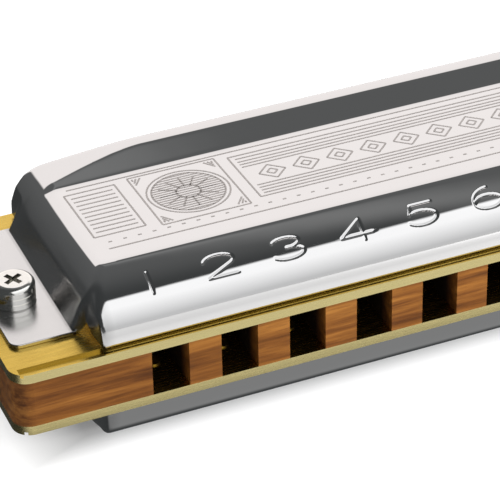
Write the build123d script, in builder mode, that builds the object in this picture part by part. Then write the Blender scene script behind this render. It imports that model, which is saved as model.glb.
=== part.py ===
"""Ten-hole diatonic harmonica: wooden comb, two brass reed plates, twenty brass reeds,
two chromed sheet covers, screws, nuts and rivets.

X runs along the ten holes from hole 1 to hole 10, the mouthpiece faces -Y and +Z is up.
The origin is under the middle of the instrument, at its lowest level.
"""
import os

from build123d import *

os.makedirs("parts", exist_ok=True)

# ---- body ----
holes = 10
pitch = 7.5
length = 100.4
depth = 28.2
corner_r = 2.0
comb_t = 5.3
plate_t = 1.05
cover_t = 0.45
cover_h = 6.3                     # plate face to the cover's highest level

height = comb_t + 2 * plate_t + 2 * cover_h
y_front = -depth / 2
z_mid = height / 2
z_comb_top = z_mid + comb_t / 2
z_plate_top = z_comb_top + plate_t
z_comb_bottom = z_mid - comb_t / 2
z_plate_bottom = z_comb_bottom - plate_t

# ---- chambers in the comb ----
chamber_w = 4.0
chamber_long = 24.3               # hole 1
chamber_short = 17.6              # hole 10

# ---- groove that holds the covers' front edges ----
groove_land = 0.25
groove_w = 1.15
groove_d = 0.35

# ---- reeds ----
reed_long = 15.0                  # free length of reed 1
reed_short = 8.8                  # free length of reed 10
reed_w_wide = 2.3
reed_w_narrow = 1.9
reed_root_t = 0.26
reed_waist_t = 0.18
reed_tip_t = 0.30
slot_gap = 0.10
root_gap = 0.02
tip_from_front = 4.6              # blow reed tips, from the mouthpiece face
pad_l = 3.4
pad_w = 2.8
pad_t = 0.40
draw_pad_from_front = 3.6
rivet_r = 0.6
rivet_head_r = 0.95
rivet_head_t = 0.30
rivet_back_t = 0.15

# ---- reed plate screws ----
plate_screw_r = 0.75
plate_screw_head_r = 1.45
plate_screw_head_t = 0.50
plate_screw_spots = [(-37.5, 5.2), (37.5, 5.2), (-26.0, 26.3), (0.0, 26.3), (26.0, 26.3)]
running_gap = 0.02

# ---- cover screws and nuts ----
cover_screw_x = 45.9
cover_screw_from_front = 12.2
cover_screw_r = 1.2
cover_head_r = 2.22
cover_head_h = 2.6
cover_head_edge = 0.55
head_ring_d = 0.08
head_ring_w = 0.12
recess_arm = 2.1
recess_w = 0.55
recess_d = 1.2
nut_r = 2.2
nut_h = 2.2
nut_slot_w = 0.6
nut_slot_d = 0.7

# ---- cover outline ----
flange_x = 48.8
flange_foot = 42.5
flange_front = 4.6
flange_rear = 24.9
flange_r = 1.0
lip_from_front = 0.70
lip_drop = 0.30                   # how far the front edge stands in the plate's groove
ridge_y = 6.4                     # front edge of the panel
panel_rear_y = 22.7
panel_rear_z = 5.3
crest_front = 26.4
crest_rear = 27.45
roll_r = 0.65                     # rolled rear edge


def hole_x(k):
    """Middle of hole k, counted from 0."""
    return (k - (holes - 1) / 2) * pitch


def graded(first, last, k):
    """Straight-line step from hole 1's value to hole 10's."""
    return first + (last - first) * k / (holes - 1)


def plate_outline(z):
    """Outline shared by the comb and both reed plates."""
    with BuildSketch(Plane.XY.offset(z)) as outline:
        RectangleRounded(length, depth, corner_r)
    return outline.sketch


def nose_points(t):
    """Control points of the bull nose, from the lip to the panel ridge, moved inward by t."""
    return [
        (lip_from_front + t, 0.9),
        (lip_from_front + t, 3.7 - 0.3 * t),
        (3.2 + 0.34 * t, 5.15 - 0.94 * t),
        (ridge_y + 0.34 * t, cover_h - 0.94 * t),
    ]


def side_profile(plane, t):
    """Side view of the cover's outer form (t = 0) or of the space under it (t = sheet)."""
    nose = nose_points(t)
    panel_rear = (panel_rear_y + 0.1 * t, panel_rear_z - t)
    front_crest = (crest_front + 0.1 * t, cover_h - t)
    rear_crest = (crest_rear - 0.2 * t, cover_h - t)
    rear_y = crest_rear + roll_r - t
    rear_z = cover_h - roll_r
    base = -lip_drop if t == 0 else -2.0
    with BuildLine(plane) as outline:
        Line((nose[0][0], base), nose[0])
        Bezier(*nose)
        Polyline(nose[-1], panel_rear, front_crest, rear_crest)
        if t == 0:
            RadiusArc(rear_crest, (rear_y, rear_z), roll_r)
            Polyline((rear_y, rear_z), (rear_y, 0), (1.2, 0), (1.2, base), (nose[0][0], base))
        else:
            RadiusArc(rear_crest, (rear_y, rear_z), 0.4)
            Polyline((rear_y, rear_z), (depth + 2, rear_z), (depth + 2, base), (nose[0][0], base))
    return Face(Wire(outline.edges()))


def end_profile(plane, half, t):
    """Whole cover seen from the mouthpiece, from the points of its right half, moved inward by t."""
    half = [(half[0][0], -3.0)] + half
    half = [(x - 1.1 * t, z - (t if z > 0 else 0)) for x, z in half]
    mirrored = [(-x, z) for x, z in reversed(half)]
    with BuildLine(plane) as outline:
        Line(half[0], half[1])
        Spline(half[1:])
        Line(half[-1], mirrored[0])
        Spline(mirrored[:-1])
        Line(mirrored[-2], mirrored[-1])
        Line(mirrored[-1], half[0])
    return Face(Wire(outline.edges()))


# right half of the end walls: plate, low wall, fold, shoulder, top
corner_section = [(40.6, 0.0), (40.6, 1.5), (40.3, 3.5), (39.2, 5.6), (37.6, 6.4), (32.0, 6.75)]
notch_section = [(41.05, 0.0), (41.05, 1.5), (40.6, 3.5), (39.2, 5.6), (37.6, 6.4), (32.0, 6.75)]
tab_section = [(42.45, 0.0), (41.9, 1.5), (41.05, 3.75), (39.2, 5.75), (37.6, 6.4), (32.0, 6.75)]
panel_rear_section = [(42.45, 0.0), (41.9, 1.5), (41.05, 2.8), (39.4, 4.7), (37.6, 5.6), (28.0, 6.4)]
rear_section = [(41.05, 0.0), (41.15, 1.5), (40.85, 2.6), (39.6, 4.3), (37.6, 5.25), (28.0, 6.35)]


def cover_form(t):
    """Body of the cover: the side view cut to the shape of the end walls."""
    sections = []
    for y, half in (
        (-1.0, corner_section),
        (flange_front - 0.6, notch_section),
        (flange_front + 0.4, tab_section),
        (flange_rear - 6.0, tab_section),
        (flange_rear - 0.2, panel_rear_section),
        (flange_rear + 0.7, rear_section),
        (depth + 2.5, rear_section),
    ):
        across = Plane((0, y_front + y, z_plate_top), x_dir=(1, 0, 0), z_dir=(0, -1, 0))
        sections.append(end_profile(across, half, t))
    side = Plane((0, y_front, z_plate_top), x_dir=(0, 1, 0), z_dir=(1, 0, 0))
    with BuildPart() as ends:
        loft(sections, ruled=True)
    with BuildPart() as body:
        extrude(side_profile(side, t), amount=length / 2, both=True)
        add(ends.part, mode=Mode.INTERSECT)
    return body.part


def notches(side):
    """Openings under an end wall, in front of the screw tab and behind it."""
    plane = Plane((side * 46, y_front, z_plate_top), x_dir=(0, 1, 0), z_dir=(1, 0, 0))
    with BuildSketch(plane) as outline:
        with BuildLine():
            Polyline((-1, -1), (flange_front, -1), (flange_front, 0.05), (4.15, 1.45), (2.9, 0.65), (1.0, 0.55),
                     (-1, 0.55), close=True)
        make_face()
        with BuildLine():
            Polyline((flange_rear, -1), (flange_rear, 0.05), (flange_rear + 0.4, 0.55), (29, 0.45), (29, -1),
                     close=True)
        make_face()
    extrude(outline.sketch, amount=-side * 6.2, mode=Mode.SUBTRACT)


# ---------------------------------------------------------------- comb
with BuildPart() as comb:
    extrude(plate_outline(z_comb_bottom), amount=comb_t)
    for k in range(holes):
        long = graded(chamber_long, chamber_short, k)
        with BuildSketch(Plane.XY.offset(z_comb_bottom)):
            with Locations((hole_x(k), y_front + long / 2 - 1)):
                Rectangle(chamber_w, long + 2)
        extrude(amount=comb_t, mode=Mode.SUBTRACT)
    with Locations([(x, y_front + y, z_mid) for x, y in plate_screw_spots]):
        Cylinder(plate_screw_r + running_gap, comb_t, mode=Mode.SUBTRACT)
    with Locations([(s * cover_screw_x, y_front + cover_screw_from_front, z_mid) for s in (-1, 1)]):
        Cylinder(cover_screw_r + running_gap, comb_t, mode=Mode.SUBTRACT)
comb.part.label = "comb"
export_step(comb.part, "parts/comb.step")


# ---------------------------------------------------------------- reed plates
def reed_w(k):
    return graded(reed_w_wide, reed_w_narrow, k)


def reed_l(k):
    return graded(reed_long, reed_short, k)


def blow_root(k):
    """Root line of a blow reed; its tip points to the mouthpiece."""
    return y_front + tip_from_front + reed_l(k)


def draw_root(k):
    """Root line of a draw reed; its tip points away from the mouthpiece."""
    return y_front + draw_pad_from_front + pad_l + root_gap


def plate(z_low, outer_up, root, tip_dir):
    """Reed plate with its cover groove, ten slots, rivet holes and screw holes."""
    extrude(plate_outline(z_low), amount=plate_t)
    z_groove = z_low + plate_t - groove_d / 2 if outer_up else z_low + groove_d / 2
    with Locations((0, y_front + groove_land + groove_w / 2 - 0.05, z_groove)):
        Box(length - 1.6, groove_w, groove_d, mode=Mode.SUBTRACT)
    z = z_low + plate_t / 2
    for k in range(holes):
        start = root(k) - tip_dir * 0.05
        end = root(k) + tip_dir * (reed_l(k) + slot_gap)
        with Locations((hole_x(k), (start + end) / 2, z)):
            Box(reed_w(k) + 2 * slot_gap, abs(end - start), plate_t, mode=Mode.SUBTRACT)
        with Locations((hole_x(k), root(k) - tip_dir * pad_l / 2, z)):
            Cylinder(rivet_r + running_gap, plate_t, mode=Mode.SUBTRACT)
    with Locations([(x, y_front + y, z) for x, y in plate_screw_spots]):
        Cylinder(plate_screw_r + running_gap, plate_t, mode=Mode.SUBTRACT)
    with Locations([(s * cover_screw_x, y_front + cover_screw_from_front, z) for s in (-1, 1)]):
        Cylinder(cover_screw_r + running_gap, plate_t, mode=Mode.SUBTRACT)


with BuildPart() as upper_reed_plate:
    plate(z_comb_top, True, blow_root, -1)
upper_reed_plate.part.label = "upper_reed_plate"
export_step(upper_reed_plate.part, "parts/upper_reed_plate.step")

with BuildPart() as lower_reed_plate:
    plate(z_plate_bottom, False, draw_root, 1)
lower_reed_plate.part.label = "lower_reed_plate"
export_step(lower_reed_plate.part, "parts/lower_reed_plate.step")


# ---------------------------------------------------------------- reeds
def reed_tongue(k, root, tip_dir, z_face):
    """Free part of a reed, hanging below the plate face it is riveted to."""
    side = Plane((hole_x(k), root(k), z_face), x_dir=(0, tip_dir, 0), z_dir=(tip_dir, 0, 0))
    with BuildSketch(side) as edge_view:
        with BuildLine():
            Polyline((0, 0), (reed_l(k), 0), (reed_l(k), -reed_tip_t),
                     (reed_l(k) * 0.78, -reed_tip_t), (reed_l(k) * 0.5, -reed_waist_t),
                     (reed_l(k) * 0.12, -reed_root_t), (0, -reed_root_t), close=True)
        make_face()
    extrude(edge_view.sketch, amount=reed_w(k) / 2, both=True)


for k in range(holes):
    with BuildPart() as blow_reed:
        reed_tongue(k, blow_root, -1, z_comb_top)
    blow_reed.part.label = f"blow_reed_{k + 1:02d}"
    export_step(blow_reed.part, f"parts/blow_reed_{k + 1:02d}.step")

    with BuildPart() as draw_reed:
        reed_tongue(k, draw_root, 1, z_plate_bottom)
    draw_reed.part.label = f"draw_reed_{k + 1:02d}"
    export_step(draw_reed.part, f"parts/draw_reed_{k + 1:02d}.step")


def pads(root, tip_dir, z_face):
    """Riveted feet of the ten reeds on one plate."""
    for k in range(holes):
        y = root(k) - tip_dir * (root_gap + pad_l / 2)
        with Locations((hole_x(k), y, z_face - pad_t / 2)):
            Box(pad_w, pad_l, pad_t)
        with Locations((hole_x(k), root(k) - tip_dir * pad_l / 2, z_face - pad_t / 2)):
            Cylinder(rivet_r + running_gap, pad_t, mode=Mode.SUBTRACT)


def rivets(root, tip_dir, z_face):
    """Ten rivets: head under the reed foot, shank through the plate, low back end."""
    long = pad_t + plate_t + rivet_back_t
    for k in range(holes):
        y = root(k) - tip_dir * pad_l / 2
        with Locations((hole_x(k), y, z_face - pad_t + long / 2)):
            Cylinder(rivet_r, long)
        with Locations((hole_x(k), y, z_face - pad_t - rivet_head_t / 2)):
            Cone(rivet_head_r * 0.75, rivet_head_r, rivet_head_t)
        with Locations((hole_x(k), y, z_face + plate_t + rivet_back_t / 2)):
            Cylinder(rivet_head_r * 0.85, rivet_back_t)


with BuildPart() as blow_reed_pads:
    pads(blow_root, -1, z_comb_top)
blow_reed_pads.part.label = "blow_reed_pads"
export_step(blow_reed_pads.part, "parts/blow_reed_pads.step")

with BuildPart() as draw_reed_pads:
    pads(draw_root, 1, z_plate_bottom)
draw_reed_pads.part.label = "draw_reed_pads"
export_step(draw_reed_pads.part, "parts/draw_reed_pads.step")

with BuildPart() as blow_reed_rivets:
    rivets(blow_root, -1, z_comb_top)
blow_reed_rivets.part.label = "blow_reed_rivets"
export_step(blow_reed_rivets.part, "parts/blow_reed_rivets.step")

# the draw rivets' back ends sit inside the chambers, under the comb's open floor
with BuildPart() as draw_reed_rivets:
    rivets(draw_root, 1, z_plate_bottom)
draw_reed_rivets.part.label = "draw_reed_rivets"
export_step(draw_reed_rivets.part, "parts/draw_reed_rivets.step")

# ---------------------------------------------------------------- reed plate screws
with BuildPart() as reed_plate_screws:
    long = comb_t + 2 * plate_t
    for x, y in plate_screw_spots:
        with Locations((x, y_front + y, z_mid)):
            Cylinder(plate_screw_r, long)
        with Locations((x, y_front + y, z_plate_top + plate_screw_head_t / 2)):
            Cylinder(plate_screw_head_r, plate_screw_head_t)
            for turn in (0, 90):
                Box(1.7, 0.4, plate_screw_head_t, rotation=(0, 0, turn), mode=Mode.SUBTRACT)
reed_plate_screws.part.label = "reed_plate_screws"
export_step(reed_plate_screws.part, "parts/reed_plate_screws.step")

# ---------------------------------------------------------------- covers
cover_outer = cover_form(0)
cover_space = cover_form(cover_t)

with BuildPart() as upper_cover:
    add(cover_outer)
    for s in (-1, 1):
        notches(s)
    for s in (-1, 1):
        with BuildSketch(Plane.XY.offset(z_plate_top)):
            with Locations((s * (flange_x + flange_foot - 1) / 2, y_front + (flange_front + flange_rear) / 2)):
                RectangleRounded(flange_x - flange_foot + 1, flange_rear - flange_front, flange_r)
            with Locations((s * (flange_foot - 0.5), y_front + (flange_front + flange_rear) / 2)):
                Rectangle(1.0, flange_rear - flange_front)
        extrude(amount=cover_t)
    add(cover_space, mode=Mode.SUBTRACT)
    with Locations([(s * cover_screw_x, y_front + cover_screw_from_front, z_plate_top) for s in (-1, 1)]):
        Cylinder(cover_screw_r + running_gap, 4 * cover_t, mode=Mode.SUBTRACT)
upper_cover.part.label = "upper_cover"
export_step(upper_cover.part, "parts/upper_cover.step")

with BuildPart() as lower_cover:
    add(mirror(upper_cover.part, about=Plane.XY.offset(z_mid)))
lower_cover.part.label = "lower_cover"
export_step(lower_cover.part, "parts/lower_cover.step")

# ---------------------------------------------------------------- cover screws
screw_axes = [(s * cover_screw_x, y_front + cover_screw_from_front) for s in (-1, 1)]
z_tab_top = z_plate_top + cover_t
z_tab_bottom = z_plate_bottom - cover_t

with BuildPart() as cover_screws:
    for x, y in screw_axes:
        with Locations((x, y, (z_tab_top + z_tab_bottom - nut_h) / 2)):
            Cylinder(cover_screw_r, z_tab_top - z_tab_bottom + nut_h)
        with BuildSketch(Plane((x, y, z_tab_top), x_dir=(1, 0, 0), z_dir=(0, -1, 0))):
            with BuildLine():
                Polyline((0, 0), (cover_head_r - 0.15, 0), (cover_head_r, 0.15),
                         (cover_head_r, cover_head_h - cover_head_edge))
                ThreePointArc((cover_head_r, cover_head_h - cover_head_edge),
                              (cover_head_r - 0.18, cover_head_h - 0.2),
                              (cover_head_r - 0.75, cover_head_h))
                Polyline((cover_head_r - 0.75, cover_head_h), (0, cover_head_h), (0, 0))
            make_face()
            for ring in (0.75, 1.4):
                with Locations((cover_head_r, ring)):
                    Rectangle(2 * head_ring_d, head_ring_w, mode=Mode.SUBTRACT)
        revolve(axis=Axis((x, y, 0), (0, 0, 1)))
        with Locations((x, y, z_tab_top + cover_head_h - recess_d / 2)):
            for turn in (30, 120):
                Box(recess_arm, recess_w, recess_d, rotation=(0, 0, turn), mode=Mode.SUBTRACT)
cover_screws.part.label = "cover_screws"
export_step(cover_screws.part, "parts/cover_screws.step")

with BuildPart() as cover_nuts:
    for x, y in screw_axes:
        with Locations((x, y, z_tab_bottom - nut_h / 2)):
            Cylinder(nut_r, nut_h)
    chamfer(cover_nuts.faces().sort_by(Axis.Z)[:2].edges(), 0.3)
    for x, y in screw_axes:
        with Locations((x, y, z_tab_bottom - nut_h + nut_slot_d / 2)):
            Box(2 * nut_r + 1, nut_slot_w, nut_slot_d, mode=Mode.SUBTRACT)
        with Locations((x, y, z_tab_bottom - nut_h / 2)):
            Cylinder(cover_screw_r + running_gap, nut_h, mode=Mode.SUBTRACT)
cover_nuts.part.label = "cover_nuts"
export_step(cover_nuts.part, "parts/cover_nuts.step")
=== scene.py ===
"""Looks of the ten-hole harmonica: chromed sheet covers with engraved hole numbers and an etched
panel, brass reed plates and reeds, a wooden comb, nickel screws, studio light and the camera.

Cover sizes are in millimetres: x from the middle, y from the mouthpiece face and z from the plate.
"""
import math

import bmesh
import bpy
import numpy as np
from mathutils import Matrix, Vector


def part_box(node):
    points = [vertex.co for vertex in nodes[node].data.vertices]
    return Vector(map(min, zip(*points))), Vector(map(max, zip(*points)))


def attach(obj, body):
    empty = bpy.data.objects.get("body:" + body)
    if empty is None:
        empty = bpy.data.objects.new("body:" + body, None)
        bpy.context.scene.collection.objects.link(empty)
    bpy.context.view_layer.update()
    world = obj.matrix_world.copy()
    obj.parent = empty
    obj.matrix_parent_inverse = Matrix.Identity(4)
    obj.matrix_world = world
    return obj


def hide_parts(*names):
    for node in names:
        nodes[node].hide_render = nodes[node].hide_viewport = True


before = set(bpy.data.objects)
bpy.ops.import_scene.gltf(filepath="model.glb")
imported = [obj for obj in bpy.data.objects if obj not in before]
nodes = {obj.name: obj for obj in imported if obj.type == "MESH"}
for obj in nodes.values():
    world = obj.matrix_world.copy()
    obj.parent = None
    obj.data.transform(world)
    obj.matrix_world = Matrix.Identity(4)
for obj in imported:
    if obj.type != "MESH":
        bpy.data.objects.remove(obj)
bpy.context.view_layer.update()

MM = 0.001

# ---- levels read from the frame, in metres ----
comb_low, comb_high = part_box("comb")
Y_FRONT = comb_low.y
Z_MIDDLE = (comb_low.z + comb_high.z) / 2
Z_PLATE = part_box("upper_reed_plate")[1].z
FRONT = Y_FRONT / MM              # the mouthpiece face again, in millimetres
DEPTH = (comb_high.y - comb_low.y) / MM    # comb from front to back, in millimetres

# ---- holes and chambers ----
HOLES = 10
PITCH = 7.5
CHAMBER_END = 24.8                # closed end of the longest chamber
CHAMBER_SIDE = 37.0               # outer walls of the end chambers

# ---- cover: side view ----
SHEET = 0.45
CREST = (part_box("upper_cover")[1].z - Z_PLATE) / MM
LIP_Y = 0.70
LIP_DROP = 0.30
NOSE = [(LIP_Y, 0.9), (LIP_Y, 3.7), (3.2, 5.15)]
RIDGE_Y = 6.4                     # front edge of the panel
PANEL_REAR = (22.7, 5.3)
CREST_FRONT = 26.4
CREST_REAR = 27.45
CREST_FADE = (26.5, 38.8)         # the crest sinks between these x
CREST_DROP = 0.86
CREST_POWER = 1.3
ROLL_R = 0.65
SIDE_ROUND = 0.30                 # softness of the bends in the side view

# ---- cover: end walls and screw tabs ----
FLANGE_X = 48.8
FLANGE_FOOT = 42.5
FLANGE_FRONT = 4.6
FLANGE_REAR = 24.9
FLANGE_R = 1.0
SCREW_X = 45.9
SCREW_Y = 12.2
HOLE_R = 1.25
TAB_EDGE = 0.07
WALL_ROUND = 0.20
WALL_TOP = (36.7, 9.2)
# right end wall in (x, z) at depths y: above the panel, edge, shoulder, fold, low wall, foot
WALL_SECTIONS = [
    (0.7, [(37.2, 8.6), (39.35, 6.20), (40.05, 4.60), (40.45, 3.55), (40.55, 1.5), (40.60, 0.4)]),
    (4.15, [(37.2, 8.6), (39.35, 6.20), (40.20, 4.65), (40.80, 3.55), (41.00, 1.5), (41.05, 0.4)]),
    (5.0, [(37.1, 8.5), (39.25, 6.15), (40.40, 4.75), (41.10, 3.70), (41.90, 1.5), (42.45, 0.4)]),
    (12.0, [(37.0, 8.2), (38.95, 6.05), (40.25, 4.70), (41.10, 3.60), (41.90, 1.5), (42.45, 0.4)]),
    (17.0, [(36.9, 7.5), (38.50, 5.90), (39.95, 4.60), (41.05, 3.40), (41.88, 1.5), (42.45, 0.4)]),
    (21.5, [(36.85, 6.9), (38.10, 5.75), (39.65, 4.50), (40.90, 3.10), (41.85, 1.4), (42.45, 0.4)]),
    (24.7, [(36.85, 6.7), (38.10, 5.72), (39.55, 4.60), (40.60, 3.20), (41.80, 1.4), (42.45, 0.4)]),
    (25.8, [(36.85, 6.65), (38.10, 5.72), (39.52, 4.65), (40.45, 3.50), (41.02, 1.9), (41.05, 0.4)]),
    (28.0, [(36.85, 6.6), (38.10, 5.72), (39.50, 4.68), (40.42, 3.55), (41.00, 1.9), (41.05, 0.4)]),
]
# lower edge of the end wall in (y, z): notches in front of the screw tab and behind it
NOTCHES = [(LIP_Y, -LIP_DROP), (1.0, 0.55), (2.9, 0.65), (4.1, 1.45), (4.6, 0.0), (24.9, 0.0), (25.3, 0.55),
           (28.0, 0.45)]

# ---- cover: mesh ----
SIDE_X = 36.6                     # rays fan out to the end wall from here
CORNER_BLEND = 0.45               # softness of the edges between nose, panel and end wall
CORNER_STEPS = 26
COARSE_STEP = 0.6
FINE_STEP = 0.11
DEPTH_STEP = 0.25                 # rows and columns of the table of wall sections
ANGLE_STEP = 0.5

# ---- engraved numbers ----
NUMBER_SHIFT = -0.63
NUMBER_Y = 3.35
NUMBER_HALF = 1.95
NUMBER_TALL = 2.4
NUMBER_WIDE = 3.5
NUMBER_DEPTH = 0.11
NUMBER_ANGLES = (43.0, 74.0)      # elevations between which the rows lie close together
STROKE = 0.095

# ---- etched pattern ----
ETCH_WIDTH = 0.20
ETCH_LIFT = 0.012
PATTERN_X = 36.6
PATTERN_Y = 16.2                  # middle line of the emblems and lozenges
EMBLEM_X = 25.1
EMBLEM_HALF = (4.9, 5.3)
DISC_R = 3.9
FRAME_X = 18.8
DOT_PITCH = 1.6

# ---- camera and floor, in millimetres and degrees ----
CAMERA_LENS = 190.18
CAMERA_TURN = (22.17, 34.15, -1.26)
CAMERA_PLACE = (-106.52, -200.22, 158.59)
FLOOR_X = (-110, 420)
FLOOR_NEAR = -420
FLOOR_SPLIT = -22
FLOOR_FAR = 80


# ------------------------------------------------------------------ node helpers
class Nodes:
    """Short way to write a material: a node tree with its shader."""

    def __init__(self, name):
        """Material with the given name and its shader."""
        self.material = bpy.data.materials.new(name)
        self.material.use_nodes = True
        self.tree = self.material.node_tree
        self.shader = self.tree.nodes["Principled BSDF"]

    def add(self, kind, **inputs):
        """New node; each named value goes to the input, or else the setting, of that name."""
        node = self.tree.nodes.new(kind)
        for key, value in inputs.items():
            if key in node.inputs:
                self.put(value, node.inputs[key])
            else:
                setattr(node, key, value)
        return node

    def put(self, value, socket):
        """Links an output, or sets a plain value."""
        if isinstance(value, bpy.types.NodeSocket):
            self.tree.links.new(value, socket)
        else:
            socket.default_value = value

    def coords(self, scale=(1, 1, 1), rotation=(0, 0, 0)):
        """Object coordinates in millimetres, times scale."""
        place = self.add("ShaderNodeTexCoord").outputs["Object"]
        mapping = self.add("ShaderNodeMapping")
        self.put(place, mapping.inputs["Vector"])
        mapping.inputs["Scale"].default_value = [s / MM for s in scale]
        mapping.inputs["Rotation"].default_value = rotation
        return mapping.outputs["Vector"]

    def noise(self, vector, detail=3.0, rough=0.5, distortion=0.0):
        """Noise between 0 and 1 at the scale of the vector."""
        node = self.add("ShaderNodeTexNoise", Vector=vector, Scale=1.0, Detail=detail,
                        Roughness=rough, Distortion=distortion)
        return node.outputs["Fac"]

    def remap(self, value, low, high, to_low=0.0, to_high=1.0):
        """Straight-line step from one range to another, held at its ends."""
        node = self.add("ShaderNodeMapRange")
        self.put(value, node.inputs["Value"])
        for key, number in zip(("From Min", "From Max", "To Min", "To Max"), (low, high, to_low, to_high)):
            node.inputs[key].default_value = number
        return node.outputs["Result"]

    def math(self, operation, a, b=0.0):
        """Result of one operation on one or two values."""
        node = self.add("ShaderNodeMath")
        node.operation = operation
        self.put(a, node.inputs[0])
        self.put(b, node.inputs[1])
        return node.outputs[0]

    def mix(self, factor, a, b):
        """Colour between a and b; sockets 6 and 7 are the node's two colours."""
        node = self.add("ShaderNodeMix")
        node.data_type = "RGBA"
        self.put(factor, node.inputs["Factor"])
        self.put(a, node.inputs[6])
        self.put(b, node.inputs[7])
        return node.outputs[2]

    def ramp(self, value, *stops):
        """Colour from stops of (position, colour)."""
        node = self.add("ShaderNodeValToRGB")
        self.put(value, node.inputs["Fac"])
        points = node.color_ramp.elements
        while len(points) < len(stops):
            points.new(0.5)
        for point, (at, colour) in zip(points, stops):
            point.position = at
            point.color = (*colour, 1)
        return node.outputs["Color"]

    def bump(self, height, strength, distance):
        """Fine relief on the shader's normal; the distance is in metres."""
        node = self.add("ShaderNodeBump")
        self.put(height, node.inputs["Height"])
        node.inputs["Strength"].default_value = strength
        node.inputs["Distance"].default_value = distance
        self.tree.links.new(node.outputs["Normal"], self.shader.inputs["Normal"])

    def place(self):
        """The point's x, y and z in millimetres."""
        split = self.add("ShaderNodeSeparateXYZ")
        self.put(self.coords(), split.inputs[0])
        return split.outputs

    def cut_face(self):
        """1 on upright faces, 0 on level ones."""
        split = self.add("ShaderNodeSeparateXYZ")
        self.put(self.add("ShaderNodeNewGeometry").outputs["Normal"], split.inputs[0])
        return self.math("LESS_THAN", self.math("ABSOLUTE", split.outputs[2]), 0.5)

    def chamber_shade(self):
        """How dark the comb is inside its chambers: none on the outer faces, full deep inside."""
        x, y, _ = self.place()
        inward = self.remap(y, FRONT + 0.05, FRONT + 2.5)
        inward = self.math("MULTIPLY", inward, self.math("LESS_THAN", y, FRONT + CHAMBER_END))
        between = self.math("LESS_THAN", self.math("ABSOLUTE", x), CHAMBER_SIDE)
        return self.math("MULTIPLY", inward, between)

    def set(self, **inputs):
        """Shader inputs by name, with _ for each space."""
        for key, value in inputs.items():
            self.put(value, self.shader.inputs[key.replace("_", " ")])


# ------------------------------------------------------------------ materials
def chrome():
    """Polished chrome with fine scratches; the end walls are darkened as a painted dark reflection and the
    screw tabs duller.
    """
    n = Nodes("cover_chrome")
    cloud = n.noise(n.coords((0.08, 0.08, 0.08)), detail=2)
    scratch = n.noise(n.coords((0.35, 6.0, 6.0), (0, 0, 0.25)), detail=5, rough=0.7)
    tint = n.mix(cloud, (0.625, 0.62, 0.615, 1), (0.645, 0.64, 0.64, 1))
    wear = n.remap(scratch, 0.52, 0.75, 0.03, 0.09)
    out = n.math("ABSOLUTE", n.place()[0])
    # end wall: between the panel's end and the inner edge of the screw tab
    wall = n.math("SUBTRACT", n.remap(out, FLANGE_FOOT - 3.4, FLANGE_FOOT - 1.8),
                  n.remap(out, FLANGE_FOOT - 0.1, FLANGE_FOOT + 0.3))
    # painted dark reflection: the end wall's colour is darkened towards grey
    tint = n.mix(n.math("MULTIPLY", wall, 0.45), tint, (0.22, 0.22, 0.22, 1))
    ground = n.remap(out, FLANGE_FOOT - 3.2, FLANGE_FOOT - 1.7, 0.0, 0.20)
    n.set(Base_Color=tint, Metallic=1.0, Roughness=n.math("ADD", wear, ground))
    ripple = n.noise(n.coords((0.22, 0.22, 0.22)), detail=1)
    n.bump(ripple, 0.12, 0.00006)
    return n.material


def brass(name, light, dark, roughness, streak):
    """Ground brass, streaked along the axis with the smallest scale; cut edges are paler."""
    n = Nodes(name)
    along = n.noise(n.coords(streak), detail=6, rough=0.65)
    cloud = n.noise(n.coords((0.13, 0.17, 0.3)), detail=3)
    colour = n.mix(n.remap(cloud, 0.3, 0.7), (*dark, 1), (*light, 1))
    colour = n.mix(n.cut_face(), colour, (0.47, 0.40, 0.185, 1))
    wear = n.remap(along, 0.3, 0.75, roughness, roughness + 0.16)
    n.set(Base_Color=colour, Metallic=1.0, Roughness=wear)
    n.bump(along, 0.25, 0.00002)
    return n.material


def wood():
    """Dark reddish-brown wood with its grain along the comb."""
    n = Nodes("comb_wood")
    bend = n.noise(n.coords((0.05, 0.15, 0.25)), detail=2)
    fibre = n.noise(n.coords((0.10, 1.3, 1.6)), detail=7, rough=0.62, distortion=0.35)
    band = n.noise(n.coords((0.03, 0.30, 0.55)), detail=3, rough=0.5, distortion=0.6)
    pores = n.noise(n.coords((0.45, 7.0, 9.0)), detail=3, rough=0.6)
    shade = n.math("ADD", n.math("MULTIPLY", fibre, 0.55), n.math("MULTIPLY", band, 0.45))
    colour = n.ramp(shade, (0.34, (0.040, 0.011, 0.002)), (0.46, (0.120, 0.040, 0.007)),
                    (0.56, (0.205, 0.078, 0.014)), (0.68, (0.310, 0.130, 0.026)))
    speck = n.remap(pores, 0.60, 0.72, 0.0, 0.55)
    colour = n.mix(speck, colour, (0.06, 0.02, 0.008, 1))
    colour = n.mix(n.remap(bend, 0.3, 0.7, 0.0, 0.25), colour, (0.24, 0.09, 0.014, 1))
    inside = n.chamber_shade()
    colour = n.mix(inside, colour, (0.012, 0.008, 0.006, 1))
    n.set(Base_Color=colour, Roughness=n.remap(fibre, 0.3, 0.7, 0.42, 0.60), Specular_IOR_Level=0.12)
    n.bump(n.math("ADD", fibre, n.math("MULTIPLY", pores, -0.6)), 0.35, 0.00008)
    return n.material


def nickel():
    """Bright turned nickel of the screws and nuts."""
    n = Nodes("screw_nickel")
    turned = n.noise(n.coords((2.0, 2.0, 9.0)), detail=4)
    wear = n.remap(turned, 0.3, 0.7, 0.10, 0.22)
    n.set(Base_Color=(0.74, 0.73, 0.70, 1), Metallic=1.0, Roughness=wear)
    n.bump(turned, 0.15, 0.00002)
    return n.material


def etch():
    """Matt acid-etched marking on the polished panel."""
    n = Nodes("etched_marking")
    grain = n.noise(n.coords((14, 14, 14)), detail=2)
    n.set(Base_Color=n.mix(grain, (0.40, 0.37, 0.355, 1), (0.54, 0.51, 0.49, 1)), Metallic=0.7,
          Roughness=n.remap(grain, 0.3, 0.7, 0.45, 0.7))
    return n.material


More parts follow.
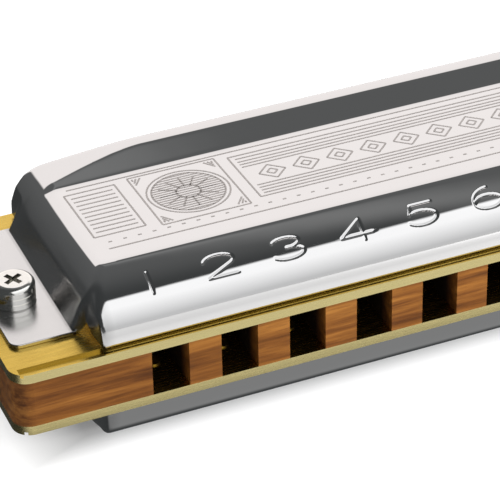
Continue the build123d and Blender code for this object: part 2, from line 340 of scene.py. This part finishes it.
def floor_paper():
    """Paper that glows as painted light, with a painted shadow: dim under and beside the instrument,
    brightest a few mm from it.
    """
    n = Nodes("floor_paper")
    fibre = n.noise(n.coords((0.4, 0.4, 0.4)), detail=4)
    x, y, _ = n.place()
    beside = n.math("MULTIPLY", n.math("SUBTRACT", n.math("ABSOLUTE", x), 38.0), 0.45)
    ahead = n.math("SUBTRACT", FRONT + 7.0, y)
    behind = n.math("SUBTRACT", y, FRONT + DEPTH)
    away = n.math("MAXIMUM", n.math("MAXIMUM", beside, ahead), behind)
    # painted shadow near the instrument: the paper's glow is weakest close to it
    painted_glow_and_shadow = n.remap(away, 1.5, 5.0, 0.18, 0.72)
    # the painted glow is dimmer again far in front
    painted_glow_and_shadow = n.math("SUBTRACT", painted_glow_and_shadow, n.remap(ahead, 10.0, 40.0, 0.0, 0.42))
    n.set(Base_Color=n.mix(fibre, (0.50, 0.50, 0.50, 1), (0.53, 0.53, 0.53, 1)), Roughness=0.85,
          Emission_Color=(1, 1, 1, 1), Emission_Strength=painted_glow_and_shadow)
    return n.material


def finish(node_name, material):
    """Gives a CAD node its material."""
    mesh = nodes[node_name].data
    mesh.materials.clear()
    mesh.materials.append(material)


def soften(node_name, width):
    """Small round on a node's sharp edges."""
    bevel = nodes[node_name].modifiers.new("edge", "BEVEL")
    bevel.width = width * MM
    bevel.segments = 2
    bevel.limit_method = "ANGLE"
    bevel.angle_limit = math.radians(50)


# ------------------------------------------------------------------ cover shape
def smooth_line(points, radius, step=0.02):
    """Points every step along a line of corners, with the corners rounded."""
    points = np.array(points, float)
    gaps = np.linalg.norm(np.diff(points, axis=0), axis=1)
    along = np.concatenate(([0], np.cumsum(gaps)))
    even = np.arange(0, along[-1], step)
    line = np.stack([np.interp(even, along, points[:, i]) for i in (0, 1)], axis=1)
    reach = max(1, int(3 * radius / step))
    weight = np.exp(-0.5 * (np.arange(-reach, reach + 1) * step / radius) ** 2)
    weight /= weight.sum()
    first = line[:1] - (line[1:reach + 1][::-1] - line[:1])
    last = line[-1:] - (line[-reach - 1:-1][::-1] - line[-1:])
    padded = np.concatenate((first, line, last))
    return np.stack([np.convolve(padded[:, i], weight, "valid") for i in (0, 1)], axis=1)


def bezier(a, b, c, d, count=40):
    """Points along a cubic curve."""
    t = np.linspace(0, 1, count)[:, None]
    a, b, c, d = (np.array(p, float) for p in (a, b, c, d))
    return (1 - t) ** 3 * a + 3 * (1 - t) ** 2 * t * b + 3 * (1 - t) * t ** 2 * c + t ** 3 * d


def side_view():
    """The cover's outer line in (y, z), from the lip in the plate's groove to the crest."""
    nose = [tuple(point) for point in bezier(*NOSE, (RIDGE_Y, CREST))]
    behind = [PANEL_REAR, (CREST_FRONT, CREST), (CREST_REAR + 2, CREST)]
    return smooth_line([(LIP_Y, -2.0)] + nose + behind, SIDE_ROUND)


def wall_section(y):
    """End wall in (x, z) at depth y, from above the panel down past the plate."""
    depths = [place for place, _ in WALL_SECTIONS]
    corners = np.array([points for _, points in WALL_SECTIONS])
    section = [[np.interp(y, depths, corners[:, i, j]) for j in (0, 1)] for i in range(corners.shape[1])]
    below = [section[-1][0] + 0.08, -2.0]
    return smooth_line([list(WALL_TOP)] + section + [below], WALL_ROUND, 0.04)


def smooth_min(a, b, width):
    """The lower of a and b, rounded where they differ by less than width."""
    h = np.clip(width - np.abs(a - b), 0, None) / width
    return np.minimum(a, b) - h * h * width / 4


class CoverShape:
    """Outer face of a cover, found along rays that fan out from under the panel."""

    def __init__(self):
        """Tables of the nose by angle, and of the end wall by depth and angle."""
        line = side_view()
        self.line = line
        nose = line[line[:, 0] < RIDGE_Y + 3]
        self.nose_angle = np.arctan2(nose[:, 1], RIDGE_Y - nose[:, 0])
        self.nose_reach = np.hypot(nose[:, 1], RIDGE_Y - nose[:, 0])
        angles = np.radians(np.arange(0, 100 + ANGLE_STEP, ANGLE_STEP))
        table = []
        for y in np.arange(0, 30 + DEPTH_STEP, DEPTH_STEP):
            section = wall_section(y) - (SIDE_X, 0)
            angle = np.arctan2(section[:, 0], section[:, 1])
            table.append(np.interp(angles, angle, np.hypot(section[:, 0], section[:, 1])))
        self.table = np.array(table)

    def wall_reach(self, angle, y):
        """Length of a ray at an angle from upright to the end wall's section at depth y."""
        rows, columns = self.table.shape
        row = np.clip(y / DEPTH_STEP, 0, rows - 1.001)
        low = row.astype(int)
        part = row - low
        column = np.clip(np.degrees(angle) / ANGLE_STEP, 0, columns - 1.001)
        left = column.astype(int)
        over = column - left
        near = self.table[low, left] * (1 - over) + self.table[low, left + 1] * over
        far = self.table[low + 1, left] * (1 - over) + self.table[low + 1, left + 1] * over
        return near * (1 - part) + far * part

    def top(self, x, y):
        """Height of the panel and crest; the crest sinks towards the ends."""
        z = np.interp(y, self.line[:, 0], self.line[:, 1])
        out = np.clip((np.abs(x) - CREST_FADE[0]) / (CREST_FADE[1] - CREST_FADE[0]), 0, None)
        level = CREST - CREST_DROP * out ** CREST_POWER
        return np.where(y > PANEL_REAR[0], smooth_min(z, level, 0.12), z)

    def reach(self, origin, ray):
        """Distance along each ray to the face: nose, panel and end wall blended together."""
        along = np.full(origin.shape[:-1], 6.0)
        down = np.arctan2(ray[..., 2], -ray[..., 1])
        flat = np.hypot(ray[..., 1], ray[..., 2])
        side = np.hypot(ray[..., 0], ray[..., 2])
        lean = np.arctan2(np.abs(ray[..., 0]), ray[..., 2])
        to_nose = np.interp(down, self.nose_angle, self.nose_reach) / np.maximum(flat, 1e-9)
        for _ in range(12):
            x = origin[..., 0] + along * ray[..., 0]
            y = origin[..., 1] + along * ray[..., 1]
            z = along * ray[..., 2]
            to_top = self.top(x, y) / np.maximum(ray[..., 2], 1e-9)
            over = np.where(origin[..., 1] > RIDGE_Y + 1e-6, to_top, to_nose)
            to_wall = self.wall_reach(lean, y) / np.maximum(side, 1e-9)
            width = CORNER_BLEND + 0.06 * np.clip(z, 0, 6)
            along = 0.5 * along + 0.5 * smooth_min(over, to_wall, width)
        return along

    def points(self, origin, ray):
        """Where each ray meets the face."""
        return origin + self.reach(origin, ray)[..., None] * ray


def column_places(fine):
    """x of the cover's columns between the end walls, close together at the engraved numbers."""
    if not fine:
        return np.linspace(-SIDE_X, SIDE_X, 148)
    edges = [-SIDE_X]
    for k in range(HOLES):
        half = NUMBER_HALF * (1.25 if k == HOLES - 1 else 1.0)
        edges += [number_x(k) - half, number_x(k) + half]
    edges.append(SIDE_X)
    places = []
    for i, (a, b) in enumerate(zip(edges[:-1], edges[1:])):
        step = FINE_STEP if i % 2 else COARSE_STEP
        places.append(np.linspace(a, b, max(2, int(math.ceil((b - a) / step)) + 1))[:-1])
    return np.concatenate(places + [[SIDE_X]])


def depth_places():
    """y of the rows behind the panel's front ridge."""
    ridge = RIDGE_Y + np.array((0, 0.25, 0.5, 0.8, 1.3))
    panel = np.linspace(RIDGE_Y + 2.5, PANEL_REAR[0] - 1.2, 6)
    band = np.linspace(PANEL_REAR[0] - 0.9, CREST_FRONT - 0.6, 19)
    crest = np.linspace(CREST_FRONT - 0.45, CREST_REAR, 9)
    return np.concatenate((ridge, panel, band, crest))


def lower_edge(y):
    """Height of the cover's lower edge at depth y."""
    return np.interp(y, *zip(*NOTCHES))


def side_columns(x_places, y_places):
    """Origins and headings of the fan's columns: nose from right to left, corner, left end wall."""
    turn = np.radians(np.linspace(0, 90, CORNER_STEPS + 1))[1:-1]
    x = np.concatenate((x_places[::-1], np.full(len(turn), -SIDE_X), np.full(len(y_places), -SIDE_X)))
    y = np.concatenate((np.full(len(x_places) + len(turn), RIDGE_Y), y_places))
    heading = np.concatenate((np.zeros(len(x_places)), turn, np.full(len(y_places), math.pi / 2)))
    return x, y, heading


def rows_of(low, fine):
    """Elevations of a column's points, from straight up to its lower edge."""
    steep = np.linspace(90, NUMBER_ANGLES[1], 9)[:-1]
    band = np.linspace(NUMBER_ANGLES[1], NUMBER_ANGLES[0], 31 if fine else 13)[:-1]
    fall = NUMBER_ANGLES[0] + (np.degrees(low) - NUMBER_ANGLES[0]) * np.linspace(0, 1, 19)
    return np.radians(np.concatenate((steep, band, fall)))


def fan_grid(shape, x, y, heading, fine):
    """Points of the nose, corner and end wall: a column per heading, rows from top to edge."""
    origin = np.stack((x, y, np.zeros(len(x))), axis=1)
    level = np.stack((-np.sin(heading), -np.cos(heading), np.zeros(len(x))), axis=1)
    low = np.zeros(len(x))
    for _ in range(8):
        ray = level * np.cos(low)[:, None]
        ray[:, 2] = np.sin(low)
        reach = shape.reach(origin, ray)
        edge = lower_edge(origin[:, 1] + reach * ray[:, 1])
        low = np.arctan2(edge, reach * np.cos(low))
    lift = np.stack([rows_of(each, fine) for each in low], axis=1)
    ray = level[None] * np.cos(lift)[..., None]
    ray[..., 2] = np.sin(lift)
    return shape.points(np.broadcast_to(origin, ray.shape), ray)


def top_grid(shape, x_places, y_places):
    """Points of the panel, rear band and crest, straight above the given places."""
    x, y = np.meshgrid(x_places, y_places)
    origin = np.stack((x, y, np.zeros(x.shape)), axis=2)
    ray = np.zeros(origin.shape)
    ray[..., 2] = 1
    return shape.points(origin, ray)


def rolled_rim(rim):
    """Edge rolled over behind the rear opening, along a line of points in one upright plane."""
    run = np.gradient(rim[:, (0, 2)], axis=0)
    run /= np.linalg.norm(run, axis=1, keepdims=True)
    outward = np.stack((-run[:, 1], np.zeros(len(run)), run[:, 0]), axis=1)
    rows = []
    for a in np.radians(np.linspace(0, 88, 9)):
        step = -outward * (1 - math.cos(a))
        step[:, 1] = math.sin(a)
        rows.append(rim + ROLL_R * step)
    return np.array(rows)


def grid_normals(grid):
    """Unit normal at each point of a grid."""
    normal = np.cross(np.gradient(grid, axis=1), np.gradient(grid, axis=0))
    return normal / np.maximum(np.linalg.norm(normal, axis=2, keepdims=True), 1e-12)


def mirrored(grid):
    """The same grid on the other end of the instrument."""
    return (grid * (-1, 1, 1))[:, ::-1]


def cover_grids(fine):
    """All grids of a cover's outer face: nose with its left end, right end, panel, rolled rim."""
    shape = CoverShape()
    x_places = column_places(fine)
    y_places = depth_places()
    x, y, heading = side_columns(x_places, y_places)
    fan = fan_grid(shape, x, y, heading, fine)
    nose = fan[:, :len(x_places)]
    left = fan[:, len(x_places) - 1:]
    panel = top_grid(shape, x_places, y_places)
    rim = np.concatenate((left[::-1, -1], panel[-1, 1:-1], mirrored(left)[:, 0]))
    if fine:
        nose = engrave(nose)
    return [nose, left, mirrored(left), panel[::-1], rolled_rim(rim)]


# ------------------------------------------------------------------ engraved numbers
def number_x(k):
    """Middle of the number over hole k, counted from 0."""
    return (k - (HOLES - 1) / 2) * PITCH + NUMBER_SHIFT


def arc(cx, cy, rx, ry, start, end, count=24):
    """Points along part of an ellipse, between two angles in degrees."""
    a = np.radians(np.linspace(start, end, count))
    return np.stack((cx + rx * np.cos(a), cy + ry * np.sin(a)), axis=1)


def figure_lines(digit):
    """A digit as lines of points in a box 1 wide and 1 tall."""
    if digit == "0":
        return [arc(0.5, 0.5, 0.42, 0.5, 0, 360, 40)]
    if digit == "1":
        return [np.array([(0.5, 0.0), (0.5, 1.0)])]
    if digit == "2":
        return [np.concatenate((arc(0.5, 0.70, 0.46, 0.30, 170, -40), [(0.06, 0.0), (0.98, 0.0)]))]
    if digit == "3":
        return [arc(0.46, 0.75, 0.42, 0.25, 155, -90), arc(0.46, 0.26, 0.48, 0.26, 90, -155)]
    if digit == "4":
        return [np.array([(0.70, 0.0), (0.70, 1.0), (0.02, 0.28), (1.0, 0.28)])]
    if digit == "5":
        flag = [(0.90, 1.0), (0.22, 1.0), (0.12, 0.56)]
        return [np.concatenate((flag, arc(0.46, 0.33, 0.48, 0.33, 125, -150)))]
    if digit == "6":
        return [arc(0.66, 0.42, 0.60, 0.58, 95, 185), arc(0.5, 0.31, 0.44, 0.31, 0, 360, 40)]
    if digit == "7":
        return [np.array([(0.04, 1.0), (0.96, 1.0), (0.36, 0.0)])]
    if digit == "8":
        return [arc(0.5, 0.76, 0.36, 0.24, 0, 360, 32), arc(0.5, 0.27, 0.44, 0.27, 0, 360, 36)]
    return [arc(0.5, 0.69, 0.44, 0.31, 0, 360, 40), arc(0.34, 0.58, 0.60, 0.58, 5, -85)]


def distance_to_line(px, py, line):
    """Shortest distance from each point to a line of points."""
    best = np.full(px.shape, 9.0)
    for (ax, ay), (bx, by) in zip(line[:-1], line[1:]):
        dx, dy = bx - ax, by - ay
        t = np.clip(((px - ax) * dx + (py - ay) * dy) / max(dx * dx + dy * dy, 1e-12), 0, 1)
        best = np.minimum(best, np.hypot(px - ax - t * dx, py - ay - t * dy))
    return best


def engrave(grid):
    """Presses the hole numbers into the bull nose of the cover."""
    line = grid[::-1, grid.shape[1] // 2, 1:]
    along = np.concatenate(([0], np.cumsum(np.linalg.norm(np.diff(line, axis=0), axis=1))))
    base = np.interp(NUMBER_Y, line[:, 0], along) - NUMBER_TALL / 2
    x = grid[:, :, 0]
    up = np.repeat((along - base)[::-1, None], grid.shape[1], axis=1)
    depth = np.zeros(up.shape)
    for k in range(HOLES):
        text = str(k + 1)
        wide = NUMBER_WIDE * (1.0 if len(text) == 1 else 0.72)
        for place, digit in enumerate(text):
            left = number_x(k) + (place - (len(text) - 1) / 2) * wide * 1.25 - wide / 2
            near = (np.abs(x - left - wide / 2) < wide) & (np.abs(up - NUMBER_TALL / 2) < NUMBER_TALL)
            for figure in figure_lines(digit):
                far = distance_to_line(x[near], up[near], figure * (wide, NUMBER_TALL) + (left, 0))
                depth[near] = np.maximum(depth[near], np.exp(-(far / STROKE) ** 2))
    outward = grid_normals(grid)
    # on the nose the outward side faces up or forward
    outward *= np.sign(outward[..., 2:3] - outward[..., 1:2])
    return grid - outward * (depth * NUMBER_DEPTH)[:, :, None]


# ------------------------------------------------------------------ mesh helpers
def link(name, data):
    """New object in the scene."""
    piece = bpy.data.objects.new(name, data)
    bpy.context.scene.collection.objects.link(piece)
    return piece


def bake_shape(piece):
    """The piece's mesh with its modifiers, or its curve, applied."""
    bpy.context.view_layer.update()
    made = piece.evaluated_get(bpy.context.evaluated_depsgraph_get())
    return bpy.data.meshes.new_from_object(made)


def joined(name, meshes, material):
    """One smooth-shaded piece from several meshes."""
    whole = bmesh.new()
    for mesh in meshes:
        whole.from_mesh(mesh)
    data = bpy.data.meshes.new(name)
    whole.to_mesh(data)
    whole.free()
    data.materials.clear()
    data.materials.append(material)
    data.polygons.foreach_set("use_smooth", [True] * len(data.polygons))
    data.polygons.foreach_set("material_index", [0] * len(data.polygons))
    return link(name, data)


def tab_outline(side):
    """Screw tab seen from above: round corners outside, straight where it meets the end wall."""
    inner = side * (FLANGE_FOOT - 0.5)
    centre = side * (FLANGE_X - FLANGE_R)
    points = [(inner, FLANGE_FRONT), (inner, FLANGE_REAR)]
    for y, start in ((FLANGE_REAR - FLANGE_R, 90), (FLANGE_FRONT + FLANGE_R, 0)):
        for a in np.radians(np.linspace(start, start - 90, 9)):
            points.append((centre + side * FLANGE_R * math.cos(a), y + FLANGE_R * math.sin(a)))
    return points


def tab_mesh(side):
    """Screw tab with its hole and softened edges."""
    curve = bpy.data.curves.new("tab", "CURVE")
    curve.dimensions = "2D"
    curve.fill_mode = "BOTH"
    curve.extrude = (SHEET / 2 - TAB_EDGE) * MM
    curve.bevel_depth = TAB_EDGE * MM
    curve.bevel_resolution = 2
    round_hole = np.linspace(0, 2 * math.pi, 33)[:-1]
    hole = [(side * SCREW_X + HOLE_R * math.cos(a), SCREW_Y + HOLE_R * math.sin(a)) for a in round_hole]
    outline = [(x - side * TAB_EDGE * np.sign(side * x - FLANGE_FOOT), y) for x, y in tab_outline(side)]
    for ring in (outline, hole):
        spline = curve.splines.new("POLY")
        spline.points.add(len(ring) - 1)
        spline.use_cyclic_u = True
        for point, (x, y) in zip(spline.points, ring):
            point.co = (x * MM, y * MM + Y_FRONT, 0, 1)
    piece = link("tab", curve)
    mesh = bake_shape(piece)
    bpy.data.objects.remove(piece)
    mesh.transform(Matrix.Translation((0, 0, Z_PLATE + SHEET / 2 * MM)))
    return mesh


def grid_mesh(grid):
    """Mesh of a grid of points in the cover's own millimetres, placed on the upper plate."""
    rows, columns = grid.shape[:2]
    points = grid.reshape(-1, 3) * MM + np.array((0, Y_FRONT, Z_PLATE))
    number = np.arange(rows * columns).reshape(rows, columns)
    corners = (number[:-1, :-1], number[:-1, 1:], number[1:, 1:], number[1:, :-1])
    mesh = bpy.data.meshes.new("grid")
    mesh.from_pydata(points.tolist(), [], np.stack(corners, axis=2).reshape(-1, 4).tolist())
    return mesh


def shell_mesh(upper):
    """The cover's formed sheet, with the numbers pressed into the upper one."""
    whole = bmesh.new()
    for grid in cover_grids(upper):
        whole.from_mesh(grid_mesh(grid))
    bmesh.ops.remove_doubles(whole, verts=whole.verts, dist=2e-6)
    bmesh.ops.recalc_face_normals(whole, faces=whole.faces)
    whole.faces.ensure_lookup_table()
    if sum(face.normal.z * face.calc_area() for face in whole.faces) < 0:
        bmesh.ops.reverse_faces(whole, faces=whole.faces)
    mesh = bpy.data.meshes.new("shell")
    whole.to_mesh(mesh)
    whole.free()
    piece = link("shell", mesh)
    sheet = piece.modifiers.new("sheet", "SOLIDIFY")
    sheet.thickness = SHEET * MM
    sheet.offset = -1
    shaped = bake_shape(piece)
    bpy.data.objects.remove(piece)
    return shaped


def make_cover(name, material, upper):
    """Formed sheet with its tabs, in place of the CAD cover; the lower one is turned over."""
    cover = joined(name, [shell_mesh(upper), tab_mesh(-1), tab_mesh(1)], material)
    if not upper:
        over = Matrix.Translation((0, 0, 2 * Z_MIDDLE)) @ Matrix.Diagonal((1, 1, -1, 1))
        cover.data.transform(over)
        cover.data.flip_normals()
    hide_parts(name.removesuffix("_sheet"))
    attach(cover, "body")


# ------------------------------------------------------------------ etched panel
def row(x0, x1, y):
    """Line along x."""
    return [(x0, y), (x1, y)]


def frame_lines(x0, x1, y0, y1):
    """Four sides of a rectangle."""
    return [row(x0, x1, y0), row(x0, x1, y1), [(x0, y0), (x0, y1)], [(x1, y0), (x1, y1)]]


def star(cx, cy, reach, count):
    """Rosette of short rays round a centre."""
    rays = []
    for a in np.linspace(0, 2 * math.pi, count, endpoint=False):
        inner = (cx + 0.35 * reach * math.cos(a), cy + 0.35 * reach * math.sin(a))
        rays.append([inner, (cx + reach * math.cos(a), cy + reach * math.sin(a))])
    return rays


def lozenge(cx, cy, half):
    """Four sides of a square standing on its corner."""
    tips = [(cx - half, cy), (cx, cy + half), (cx + half, cy), (cx, cy - half)]
    return [[tips[i - 1], tips[i]] for i in range(4)]


def striped_block(side):
    """Stack of short lines at one end of the panel."""
    x0, x1 = sorted((side * 37.2, side * 31.6))
    stripes = [row(x0 + 0.5, x1 - 0.5, y) for y in np.linspace(12.5, 20.1, 10)]
    return frame_lines(x0, x1, 11.6, 21.0) + stripes


def emblem(cx):
    """Ringed and hatched disc with a rosette, in a frame with corner strokes."""
    cy = PATTERN_Y
    wide, tall = EMBLEM_HALF
    lines = frame_lines(cx - wide, cx + wide, cy - tall, cy + tall)
    for radius in (DISC_R + 0.5, DISC_R, DISC_R / 3):
        lines.append(arc(cx, cy, radius, radius, 0, 360, 49).tolist())
    for y in np.arange(cy - 3.6, cy + 3.7, 0.45):
        half = math.sqrt(DISC_R ** 2 - (y - cy) ** 2)
        lines.append(row(cx - half, cx + half, y))
    lines += star(cx, cy, 3.2, 12)
    for sx in (-1, 1):
        for sy in (-1, 1):
            for gap in (0.0, 0.45, 0.9):
                corner = (cx + sx * (4.5 - gap), cy + sy * 4.9)
                lines.append([corner, (cx + sx * 4.5, cy + sy * (4.9 - gap - 0.4))])
    return lines


def long_frame():
    """Wide frame with stacked lines above and below a row of lozenges."""
    lines = frame_lines(-FRAME_X, FRAME_X, 11.7, 20.9)
    for y in (12.3, 12.9, 13.5, 14.1, 18.3, 18.9, 19.5, 20.2):
        lines.append(row(-FRAME_X + 0.6, FRAME_X - 0.6, y))
    for cx in np.linspace(-15.6, 15.6, 9):
        lines += lozenge(cx, PATTERN_Y, 1.5)
        lines += lozenge(cx, PATTERN_Y, 0.6)
    return lines


def etched_lines():
    """All lines of the panel's generic pattern."""
    lines = [row(-PATTERN_X, PATTERN_X, 8.9), row(-PATTERN_X, PATTERN_X, 22.0)]
    for x in np.arange(-36.0, 36.1, DOT_PITCH):
        lines.append(row(x - 0.2, x + 0.2, 10.2))
    for side in (-1, 1):
        lines += striped_block(side)
        lines += emblem(side * EMBLEM_X)
    return lines + long_frame()


def etched_panel():
    """Thin strips along the pattern's lines, just above the panel."""
    y, z = side_view().T
    mesh = bmesh.new()
    for points in etched_lines():
        line = np.array(points, float)
        run = np.gradient(line, axis=0)
        run /= np.linalg.norm(run, axis=1, keepdims=True)
        across = np.stack((-run[:, 1], run[:, 0]), axis=1) * ETCH_WIDTH / 2
        ends = []
        for edge in (line + across, line - across):
            level = np.interp(edge[:, 1], y, z) + ETCH_LIFT
            ends.append([mesh.verts.new((px * MM, py * MM + Y_FRONT, Z_PLATE + pz * MM))
                         for (px, py), pz in zip(edge, level)])
        for i in range(len(line) - 1):
            mesh.faces.new((ends[1][i], ends[1][i + 1], ends[0][i + 1], ends[0][i]))
    data = bpy.data.meshes.new("etched_panel")
    mesh.to_mesh(data)
    mesh.free()
    data.materials.append(etch())
    panel = link("etched_panel", data)
    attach(panel, "body")


# ------------------------------------------------------------------ studio
class Sky(Nodes):
    """World nodes: soft boxes placed by direction in a dark room."""

    def __init__(self):
        """Empty world tree with the direction split into x, y and z."""
        scene_world = bpy.data.worlds.new("studio")
        bpy.context.scene.world = scene_world
        scene_world.use_nodes = True
        self.tree = scene_world.node_tree
        self.tree.nodes.clear()
        split = self.add("ShaderNodeSeparateXYZ")
        self.put(self.add("ShaderNodeTexCoord").outputs["Generated"], split.inputs[0])
        self.x, self.y, self.z = split.outputs

    def blend(self, value, low, high):
        """Smooth step from 0 at low to 1 at high."""
        node = self.add("ShaderNodeMapRange", interpolation_type="SMOOTHSTEP")
        self.put(value, node.inputs["Value"])
        node.inputs["From Min"].default_value = low
        node.inputs["From Max"].default_value = high
        return node.outputs["Result"]

    def dot(self, across, along, up):
        """Part of the direction that lies along a vector."""
        level = self.math("ADD", self.math("MULTIPLY", self.x, across), self.math("MULTIPLY", self.y, along))
        return self.math("ADD", level, self.math("MULTIPLY", self.z, up))

    def soft_box(self, azimuth, elevation, half_width, half_height, soft, low, high):
        """Brightness of a soft box: low at its lower edge, high at its upper edge, nothing outside.

        The angles are in degrees, from +y towards +x and up; the sizes are tangents.
        """
        a, e = math.radians(azimuth), math.radians(elevation)
        ahead = self.dot(math.sin(a) * math.cos(e), math.cos(a) * math.cos(e), math.sin(e))
        side = self.dot(math.cos(a), -math.sin(a), 0)
        rise = self.dot(-math.sin(a) * math.sin(e), -math.cos(a) * math.sin(e), math.cos(e))
        depth = self.math("MAXIMUM", ahead, 0.05)
        wide = self.math("ABSOLUTE", self.math("DIVIDE", side, depth))
        tall = self.math("DIVIDE", rise, depth)
        inside = self.math("MULTIPLY", self.blend(wide, half_width + soft, half_width - soft),
                           self.blend(self.math("ABSOLUTE", tall), half_height + soft, half_height - soft))
        inside = self.math("MULTIPLY", inside, self.blend(ahead, 0.05, 0.15))
        bright = self.remap(tall, -0.5 * half_height, 0.55 * half_height, low, high)
        return self.math("MULTIPLY", inside, bright)

    def tinted(self, value, colour):
        """Brightness times a colour."""
        node = self.add("ShaderNodeVectorMath", operation="SCALE")
        node.inputs[0].default_value = colour
        self.put(value, node.inputs["Scale"])
        return node.outputs[0]

    def total(self, colours):
        """Sum of colours."""
        whole = colours[0]
        for colour in colours[1:]:
            node = self.add("ShaderNodeVectorMath", operation="ADD")
            self.put(whole, node.inputs[0])
            self.put(colour, node.inputs[1])
            whole = node.outputs[0]
        return whole


def studio():
    """White backdrop for the camera; dark room with two soft boxes for lighting and reflections."""
    sky = Sky()
    rear_box = sky.soft_box(azimuth=26, elevation=20, half_width=0.72, half_height=0.49, soft=0.05,
                            low=1.28, high=1.14)
    front_box = sky.soft_box(azimuth=150, elevation=27, half_width=1.05, half_height=0.80, soft=0.05,
                             low=0.76, high=1.43)
    zenith_strip = sky.soft_box(azimuth=76, elevation=68, half_width=0.9, half_height=0.035, soft=0.035,
                                low=0.12, high=0.12)
    # faint wall behind the instrument, above the horizon
    wall = sky.math("MULTIPLY", sky.blend(sky.dot(0.5, 0.87, 0), -0.1, 0.35), 0.075)
    wall = sky.math("MULTIPLY", wall, sky.blend(sky.z, -0.05, 0.10))
    # table top close to the mouthpiece, as the lower cover mirrors it
    forward = sky.blend(sky.dot(0.5, -0.87, 0), -0.2, 0.2)
    table = sky.math("MULTIPLY", sky.blend(sky.z, -0.12, -0.30), forward)
    table = sky.math("MULTIPLY", table, 0.24)
    room = sky.total([
        sky.tinted(rear_box, (1.0, 0.945, 0.93)),
        sky.tinted(front_box, (0.985, 0.99, 1.0)),
        sky.tinted(zenith_strip, (1, 1, 1)),
        sky.tinted(wall, (1, 1, 1)),
        sky.tinted(table, (1, 1, 1)),
        sky.tinted(0.07, (0.92, 0.98, 1.0)),
    ])
    lit = sky.add("ShaderNodeBackground", Color=room)
    backdrop = sky.add("ShaderNodeBackground", Color=(1, 1, 1, 1), Strength=1.15)
    mix = sky.add("ShaderNodeMixShader")
    sky.put(sky.add("ShaderNodeLightPath").outputs["Is Camera Ray"], mix.inputs[0])
    sky.put(lit.outputs[0], mix.inputs[1])
    sky.put(backdrop.outputs[0], mix.inputs[2])
    sky.put(mix.outputs[0], sky.add("ShaderNodeOutputWorld").inputs["Surface"])


def area_light(name, place, aim, size, power):
    """Square soft light that shines on diffuse surfaces only."""
    lamp = bpy.data.lights.new(name, "AREA")
    lamp.shape = "RECTANGLE"
    lamp.size = lamp.size_y = size
    lamp.energy = power
    lamp.specular_factor = 0.0
    piece = link(name, lamp)
    piece.location = place
    piece.rotation_euler = (Vector(aim) - Vector(place)).to_track_quat("-Z", "Y").to_euler()
    piece.visible_glossy = False


def camera():
    """Long lens at the left front corner, looking down at about 34 degrees."""
    lens = bpy.data.cameras.new("camera")
    lens.sensor_width = 36
    lens.lens = CAMERA_LENS
    lens.clip_start = 0.01
    piece = link("camera", lens)
    turn, down, roll = (math.radians(a) for a in CAMERA_TURN)
    ahead = Vector((math.sin(turn) * math.cos(down), math.cos(turn) * math.cos(down), -math.sin(down)))
    right = Vector((math.cos(turn), -math.sin(turn), 0))
    up = right.cross(ahead)
    right, up = right * math.cos(roll) + up * math.sin(roll), up * math.cos(roll) - right * math.sin(roll)
    piece.matrix_world = Matrix((
        (right.x, up.x, -ahead.x, CAMERA_PLACE[0] * MM),
        (right.y, up.y, -ahead.y, CAMERA_PLACE[1] * MM + Y_FRONT),
        (right.z, up.z, -ahead.z, CAMERA_PLACE[2] * MM + Z_MIDDLE),
        (0, 0, 0, 1)))
    bpy.context.scene.camera = piece


def floor(name, near, far):
    """White paper under the instrument between two depths."""
    left, right = FLOOR_X
    outline = [(left, near), (right, near), (right, far), (left, far)]
    mesh = bpy.data.meshes.new(name)
    mesh.from_pydata([(x * MM, y * MM, 0) for x, y in outline], [], [(0, 1, 2, 3)])
    mesh.materials.append(floor_paper())
    paper = link(name, mesh)
    return paper


# ------------------------------------------------------------------ build
shine = chrome()
make_cover("upper_cover_sheet", shine, True)
make_cover("lower_cover_sheet", shine, False)
etched_panel()
plate_brass = brass("plate_brass", light=(0.66, 0.46, 0.10), dark=(0.56, 0.375, 0.065), roughness=0.20,
                    streak=(0.4, 5.0, 5.0))
reed_brass = brass("reed_brass", light=(0.66, 0.48, 0.14), dark=(0.56, 0.39, 0.10), roughness=0.26,
                   streak=(5.0, 0.5, 5.0))
screw_nickel = nickel()
for node_name in nodes:
    if node_name == "comb":
        finish(node_name, wood())
    elif node_name.endswith("reed_plate"):
        finish(node_name, plate_brass)
    elif "screws" in node_name or "nuts" in node_name:
        finish(node_name, screw_nickel)
    elif "reed" in node_name:
        finish(node_name, reed_brass)

for node_name in ("comb", "upper_reed_plate", "lower_reed_plate"):
    soften(node_name, 0.07)

floor("floor_front", FLOOR_NEAR, FLOOR_SPLIT)
# reflections pass through the paper from just in front of the mouthpiece backwards, into the dark room
floor("floor_rear", FLOOR_SPLIT, FLOOR_FAR).visible_glossy = False
studio()
area_light("key", (0.20, 0.15, 0.6), (0, 0, 0), 0.5, 2.6)
area_light("fill", (-0.35, -0.25, 0.5), (0, 0, 0), 0.6, 1.0)
area_light("low_right", (0.17, -0.15, 0.05), (0.04, -0.014, 0.01), 0.05, 0.75)
camera()
bpy.context.scene.view_settings.view_transform = "Standard"
